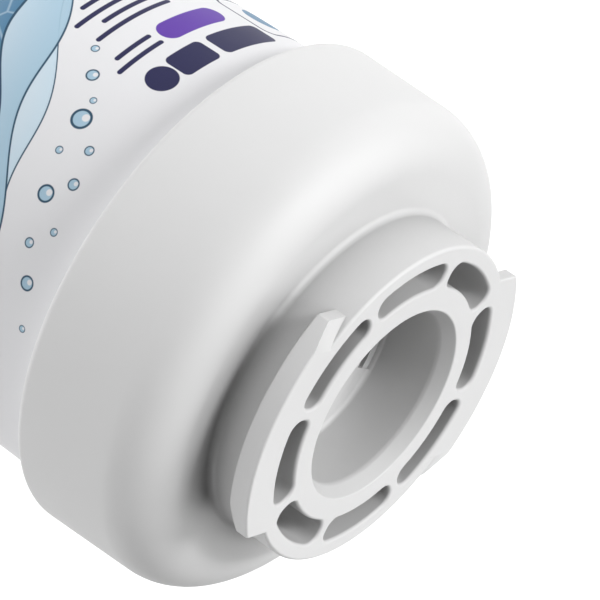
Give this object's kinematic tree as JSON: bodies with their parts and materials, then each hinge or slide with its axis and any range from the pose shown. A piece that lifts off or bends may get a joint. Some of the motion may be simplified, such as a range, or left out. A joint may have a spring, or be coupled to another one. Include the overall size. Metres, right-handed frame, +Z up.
{
  "type": "refrigerator water filter cartridge",
  "caption": "White quarter-turn fridge water filter cartridge: tapered printed body, wide collar, and a neck with a central bore, moulded pockets and locking lugs.",
  "frame": {"origin": "centre of the grip end, on the surface that the cartridge stands on", "axes": "+Z up the cartridge's axis to the connector face, +X through the middle of one locking lug"},
  "size_m": [0.079, 0.079, 0.137],
  "materials": {
    "housing": "white moulded polypropylene, satin",
    "label_film": "white printed film, soft gloss",
    "end_cap": "natural white polypropylene",
    "carbon": "bonded activated carbon, matt black",
    "nonwoven": "white non-woven polypropylene",
    "adhesive": "set hot-melt adhesive",
    "seal": "black rubber"
  },
  "bodies": {
    "root": {"sump": "housing", "head_cap": "housing", "label_wrap": "label_film", "lower_end_cap": "end_cap", "lower_adhesive": "adhesive", "core_sleeve": "nonwoven", "carbon_block": "carbon", "prefilter_wrap": "nonwoven", "upper_adhesive": "adhesive", "upper_end_cap": "end_cap", "lower_o_ring": "seal", "upper_o_ring": "seal"}
  },
  "joints": []
}
